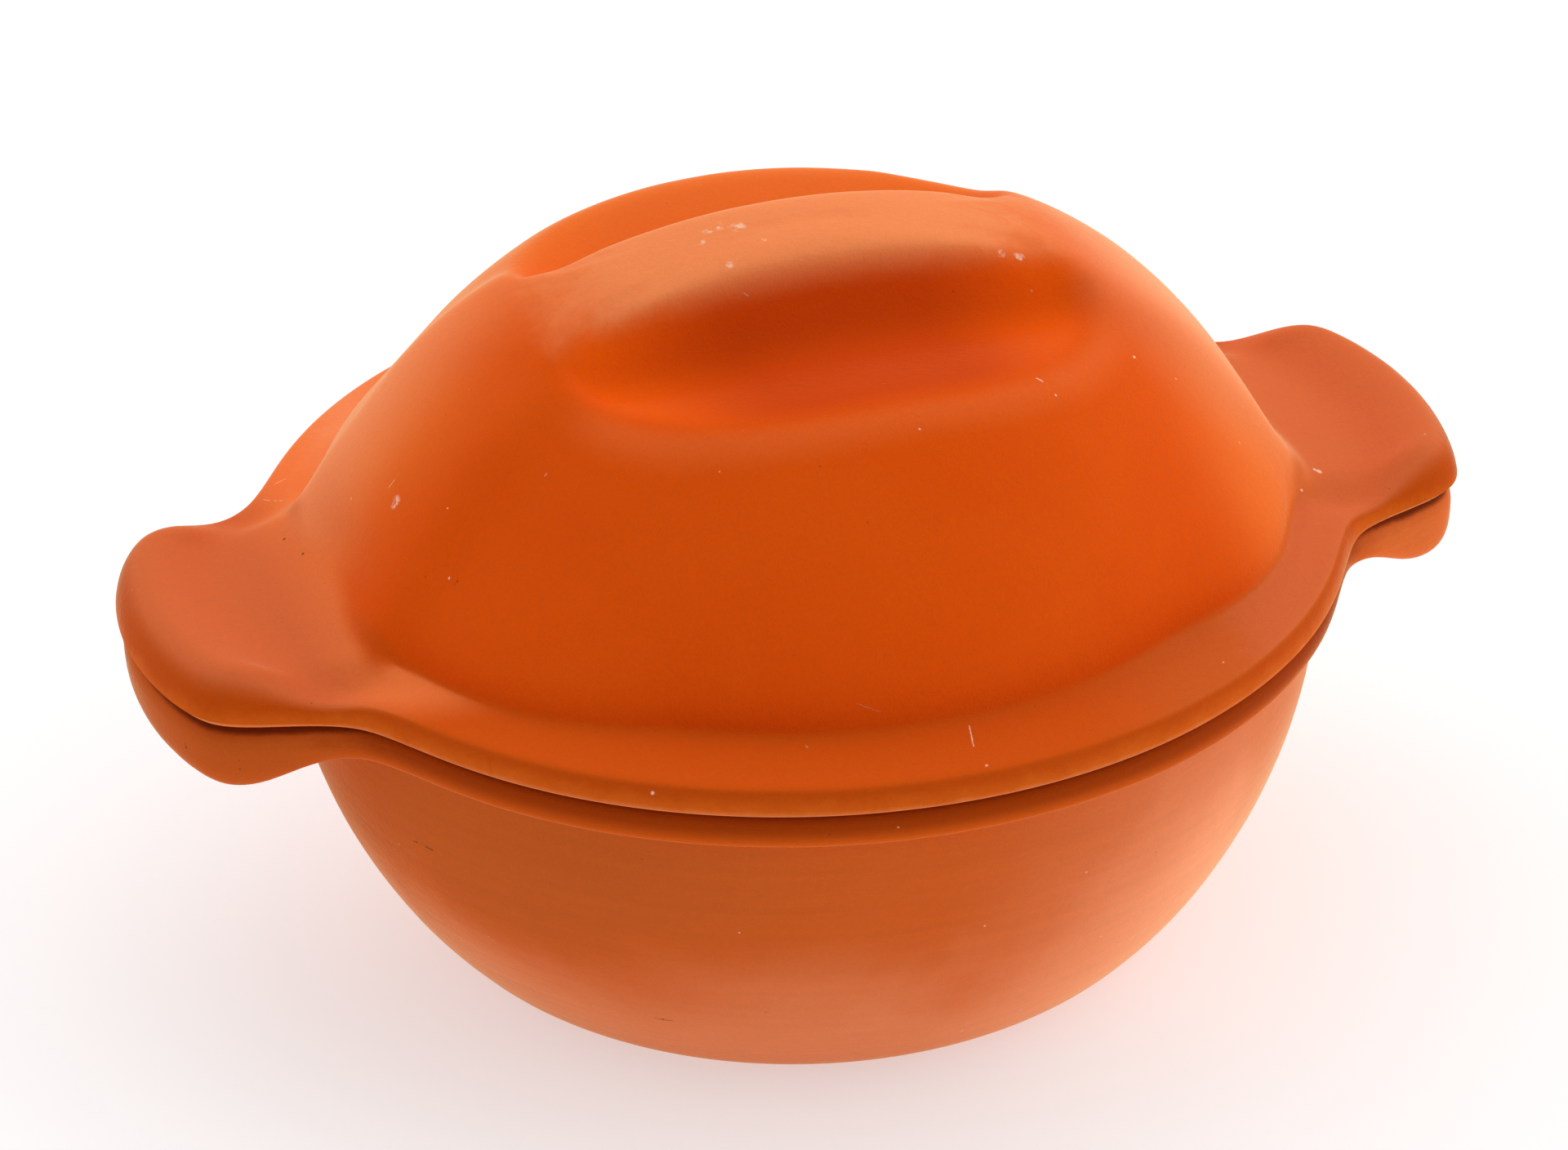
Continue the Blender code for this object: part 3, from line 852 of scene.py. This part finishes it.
def lidSides(tree, place, colour, look):
    # The dome: paler on its flanks and at the back, as painted light, and with a painted sheen
    # towards its ends
    # painted light: the flanks and the back of the dome are paler
    back = ramp(tree, place["depth"], *look["backFrom"])
    flanks = ramp(tree, place["reach"], *look["flankFrom"])
    flanks = product(tree, flanks, ramp(tree, place["round"], *look["flankRound"]))
    colour = blend(tree, strongest(tree, flanks, back), colour, look["flanks"])
    onRight = ramp(tree, place["across"], *look["paintedSheenRightFrom"])
    depth = math1(tree, "MULTIPLY_ADD", onRight, look["paintedSheenForward"], place["depth"])
    # painted sheen: paler towards the ends of the dome, most of all at the back
    paintedSheen = ramp(tree, place["reach"], *look["paintedSheenFrom"])
    paintedSheen = product(tree, paintedSheen, ramp(tree, depth, *look["paintedSheenDepth"]))
    paintedSheen = product(tree, paintedSheen, ramp(tree, onRight, 0.0, 1.0, *look["paintedSheenShares"]))
    return blend(tree, paintedSheen, colour, blend(tree, onRight, look["paintedSheen"], look["paintedSheenRight"]))


def lidGrip(tree, place, colour, look):
    # The pale top, the painted shade of the recesses and the painted highlight on the lip in front
    length, width = look["poolReach"]
    along = math1(tree, "POWER", math1(tree, "DIVIDE", place["reach"], length), look["poolPower"])
    across = math1(tree, "POWER", math1(tree, "DIVIDE", place["side"], width), look["poolPower"])
    inside = math1(tree, "SUBTRACT", math1(tree, "SUBTRACT", 1.0, along), across)
    upper = math1(tree, "GREATER_THAN", place["height"], look["poolAbove"])
    # painted shade in the recesses, lighter towards their ends and faint in the recess at the back
    recessShade = ramp(tree, inside, *look["poolFade"])
    recessShade = product(tree, recessShade, ramp(tree, place["side"], *look["poolFrom"]), upper)
    behind = ramp(tree, place["depth"], *look["poolDepth"], 1.0, look["poolBehind"])
    recessShade = product(tree, recessShade, behind)

    crown = wander(tree, place["height"], place["blotch"], look["crownWander"])
    colour = blend(tree, ramp(tree, crown, *look["crownFrom"]), colour, look["crown"])
    ends = ramp(tree, place["reach"], *look["poolEndsFrom"])
    colour = blend(tree, recessShade, colour, blend(tree, ends, look["recessShade"], look["recessShadeEnds"]))
    # painted highlight along the lip below the front recess
    outer, middle, inner = look["lipBand"]
    lip = product(tree, ramp(tree, inside, outer, middle), ramp(tree, inside, inner, middle))
    lip = product(tree, lip, ramp(tree, place["depth"], *look["lipDepth"]), upper)
    return blend(tree, product(tree, lip, look["lipShare"]), colour, look["lip"])


def lidRim(tree, place, colour, look):
    # The flange, the ears, the rolled edge with its painted shade and its painted highlight line,
    # and the underside
    onFlange = ramp(tree, place["height"], *look["flangeBelow"])
    onFlange = product(tree, onFlange, ramp(tree, place["depth"], *look["flangeDepth"]))
    onRight = ramp(tree, place["across"], *look["flangeRightFrom"])
    flange = blend(tree, onRight, look["flange"], look["flangeRight"])
    colour = blend(tree, onFlange, colour, flange)

    shifted = math1(tree, "ADD", place["across"], look["earShift"])
    reach = wander(tree, math1(tree, "ABSOLUTE", shifted), place["blotch"], look["earWander"])
    onEars = ramp(tree, reach, *look["earFrom"])
    onEars = product(tree, onEars, ramp(tree, place["height"], *look["earBelow"]))
    onEars = product(tree, onEars, ramp(tree, place["round"], *look["earRound"]))
    level = ramp(tree, place["faceUp"], *look["earLevel"])
    level = strongest(tree, level, ramp(tree, place["reach"], *look["earOuter"]))
    onEars = product(tree, onEars, level)
    # painted light where the left ear meets the dome
    atRoot = ramp(tree, place["across"], *look["rootFrom"])
    leftEar = blend(tree, atRoot, look["ears"], look["earRoot"])
    ears = blend(tree, ramp(tree, place["across"], *look["leftToRight"]), leftEar, look["ears"])
    colour = blend(tree, onEars, colour, ears)

    # The rolled edge, darker at its top and lighter below: painted shade and painted light from the
    # table
    edge = ramp(tree, place["radius"], *look["edgeFrom"])
    edge = product(tree, edge, ramp(tree, place["faceUp"], *look["edgeFacing"]))
    height = wander(tree, place["aboveSeam"], place["blotch"], look["edgeWander"])
    upper = ramp(tree, height, *look["edgeTopFrom"])
    colour = blend(tree, edge, colour, blend(tree, upper, look["edgeShadedTop"], look["edge"]))
    # painted highlight: a pale line along the lid's lowest edge
    glintAt = wander(tree, place["aboveSeam"], place["blotch"], look["glintWander"])
    edgeGlint = product(tree, edge, ramp(tree, glintAt, *look["glintHeight"]), look["glintShare"])
    colour = blend(tree, edgeGlint, colour, clayGrain["edgeHighlight"])
    under = ramp(tree, place["faceUp"], *look["underFacing"])
    under = product(tree, under, math1(tree, "LESS_THAN", place["radius"], look["underRadius"]))
    return blend(tree, under, colour, look["inside"])


def lidClay(piece, look):
    material, tree, shader, where = clayTree("lidClayFinish")
    place = placeOf(tree, where)
    warmth = ramp(tree, place["drift"], *clayGrain["toneFrom"])
    colour = blend(tree, warmth, look["deep"], look["warm"])
    for layer in (lidSides, lidGrip, lidRim):
        colour = layer(tree, place, colour, look)
    finishClay(tree, shader, where, place["steep"], colour, piece, look)
    return material


baseLook = {
    # Linear colours
    "deep": (0.57, 0.100, 0.014),
    # paler towards the bottom of the bowl
    "lowerTone": (0.69, 0.200, 0.078),
    # painted shade: the bowl is deeper on the left, higher up
    "left": (0.50, 0.094, 0.013),
    "right": (0.90, 0.335, 0.165),  # painted light: towards +X the bowl is paler
    "inside": (0.70, 0.155, 0.034),
    "rubbed": (0.78, 0.330, 0.170),  # the ring that rubs on the table
    # the ears: darker on the left and paler on the right, painted shade and painted light
    "leftEar": (0.50, 0.086, 0.010),
    "rightEar": (0.68, 0.140, 0.028),
    "band": (0.33, 0.040, 0.0006),
    "bandLow": (0.56, 0.084, 0.004),
    # Where each colour begins and where it is full
    "lowerToneFrom": (0.062, 0.012),
    "lowerToneWander": 0.06,
    "leftFrom": (-0.02, -0.10),
    "leftAbove": (0.040, 0.070),
    "rightFrom": (-0.015, 0.085),
    "rightBelow": (0.095, 0.042, 0.34, 1.0),  # two heights, and the shares at them
    "earFrom": (0.125, 0.155),
    "earWander": 0.03,
    "leftToRight": (-0.05, 0.05),
    "bandFrom": (0.0940, 0.0975),  # heights of the rim's roll
    "bandTop": (0.1020, 0.0965),  # the roll is darker above this
    "shadeFrom": (0.1040, 0.1054),  # painted shade in the seam
    "shadeOnEars": 0.0012,  # it reaches this much lower on the ears
    "shadeWander": 0.0012,
    "shadeShare": 0.80,
    "wallFacing": (0.10, 0.25),
    "floorFacing": (0.60, 0.75),
    "insideRadius": 0.1285,
    "insideAbove": 0.0020,
    "rubbedFrom": (0.0012, 0.0002),
    "rubbedWander": 0.002,
    "rubbedShare": 0.6,
    # Grain and relief
    "grainTone": 0.16,
    "poreTone": 0.10,
    "streakTone": 0.14,
    "roughness": (0.78, 0.95),
    "grainRelief": 0.00010,
    "poreRelief": 0.00014,
    "streakRelief": 0.00016,
    "cutDepth": 0.00012,
    "paleShare": 0.5,
    # Marks at pixels of the photograph, as on the lid
    "smears": (),
    "paleMarks": ((1100, 1013, 1.8), (905, 1142, 1.8), (1330, 1068, 2.0)),
    "darkMarks": (
        (523, 1037, 3.0), (524, 1038, 530, 1041, 1.5), (507, 1030, 511, 1031, 1.3),
        (516, 1033, 520, 1035, 0.8), (228, 915, 3.0), (227, 911, 1.8), (812, 1248, 2.2),
        (802, 1247, 824, 1250, 1.0), (294, 942, 1.8),
    ),
}


def bowlSides(tree, place, colour, look):
    # Deeper on the left above, as painted shade, and paler on the right below, as painted light
    height = wander(tree, place["height"], place["drift"], look["lowerToneWander"])
    colour = blend(tree, ramp(tree, height, *look["lowerToneFrom"]), colour, look["lowerTone"])
    onLeft = ramp(tree, place["across"], *look["leftFrom"])
    onLeft = product(tree, onLeft, ramp(tree, height, *look["leftAbove"]))
    colour = blend(tree, onLeft, colour, look["left"])
    onRight = ramp(tree, place["across"], *look["rightFrom"])
    onRight = product(tree, onRight, ramp(tree, height, *look["rightBelow"]))
    return blend(tree, onRight, colour, look["right"])


def bowlRim(tree, place, colour, look):
    # The roll under the seam, the ears and the painted shade in the seam
    rolled = ramp(tree, place["height"], *look["bandTop"])
    rolled = blend(tree, rolled, look["band"], look["bandLow"])
    colour = blend(tree, ramp(tree, place["height"], *look["bandFrom"]), colour, rolled)
    reach = wander(tree, place["reach"], place["blotch"], look["earWander"])
    onEars = ramp(tree, reach, *look["earFrom"])
    # the left ear darker and the right one paler: painted shade and painted light
    ears = ramp(tree, place["across"], *look["leftToRight"])
    colour = blend(tree, onEars, colour, blend(tree, ears, look["leftEar"], look["rightEar"]))
    # painted shade along the seam, reaching a little lower on the ears
    lowered = math1(tree, "MULTIPLY_ADD", onEars, look["shadeOnEars"], place["height"])
    shade = wander(tree, lowered, place["blotch"], look["shadeWander"])
    shade = product(tree, ramp(tree, shade, *look["shadeFrom"]), look["shadeShare"])
    return blend(tree, shade, colour, clayGrain["seamShade"])


def bowlInside(tree, place, colour, look):
    # The hollow with its floor, and the ring that stands on the table
    within = ramp(tree, place["inwards"], *look["wallFacing"])
    within = strongest(tree, within, ramp(tree, place["faceUp"], *look["floorFacing"]))
    near = math1(tree, "LESS_THAN", place["radius"], look["insideRadius"])
    above = math1(tree, "GREATER_THAN", place["height"], look["insideAbove"])
    colour = blend(tree, product(tree, within, near, above), colour, look["inside"])
    rubbed = wander(tree, place["height"], place["blotch"], look["rubbedWander"])
    rubbed = product(tree, ramp(tree, rubbed, *look["rubbedFrom"]), look["rubbedShare"])
    return blend(tree, rubbed, colour, look["rubbed"])


def baseClay(piece, look):
    material, tree, shader, where = clayTree("baseClayFinish")
    place = placeOf(tree, where)
    colour = look["deep"]
    for layer in (bowlSides, bowlRim, bowlInside):
        colour = layer(tree, place, colour, look)
    finishClay(tree, shader, where, place["steep"], colour, piece, look)
    return material


lid = makeSkin("lid", "lidShell")
lid.data.materials.append(lidClay(lid, lidLook))
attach(lid, "lid")
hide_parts("lid")

base = makeSkin("base", "baseBowl")
base.data.materials.append(baseClay(base, baseLook))
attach(base, "base")
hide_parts("base")
print("clay finished")
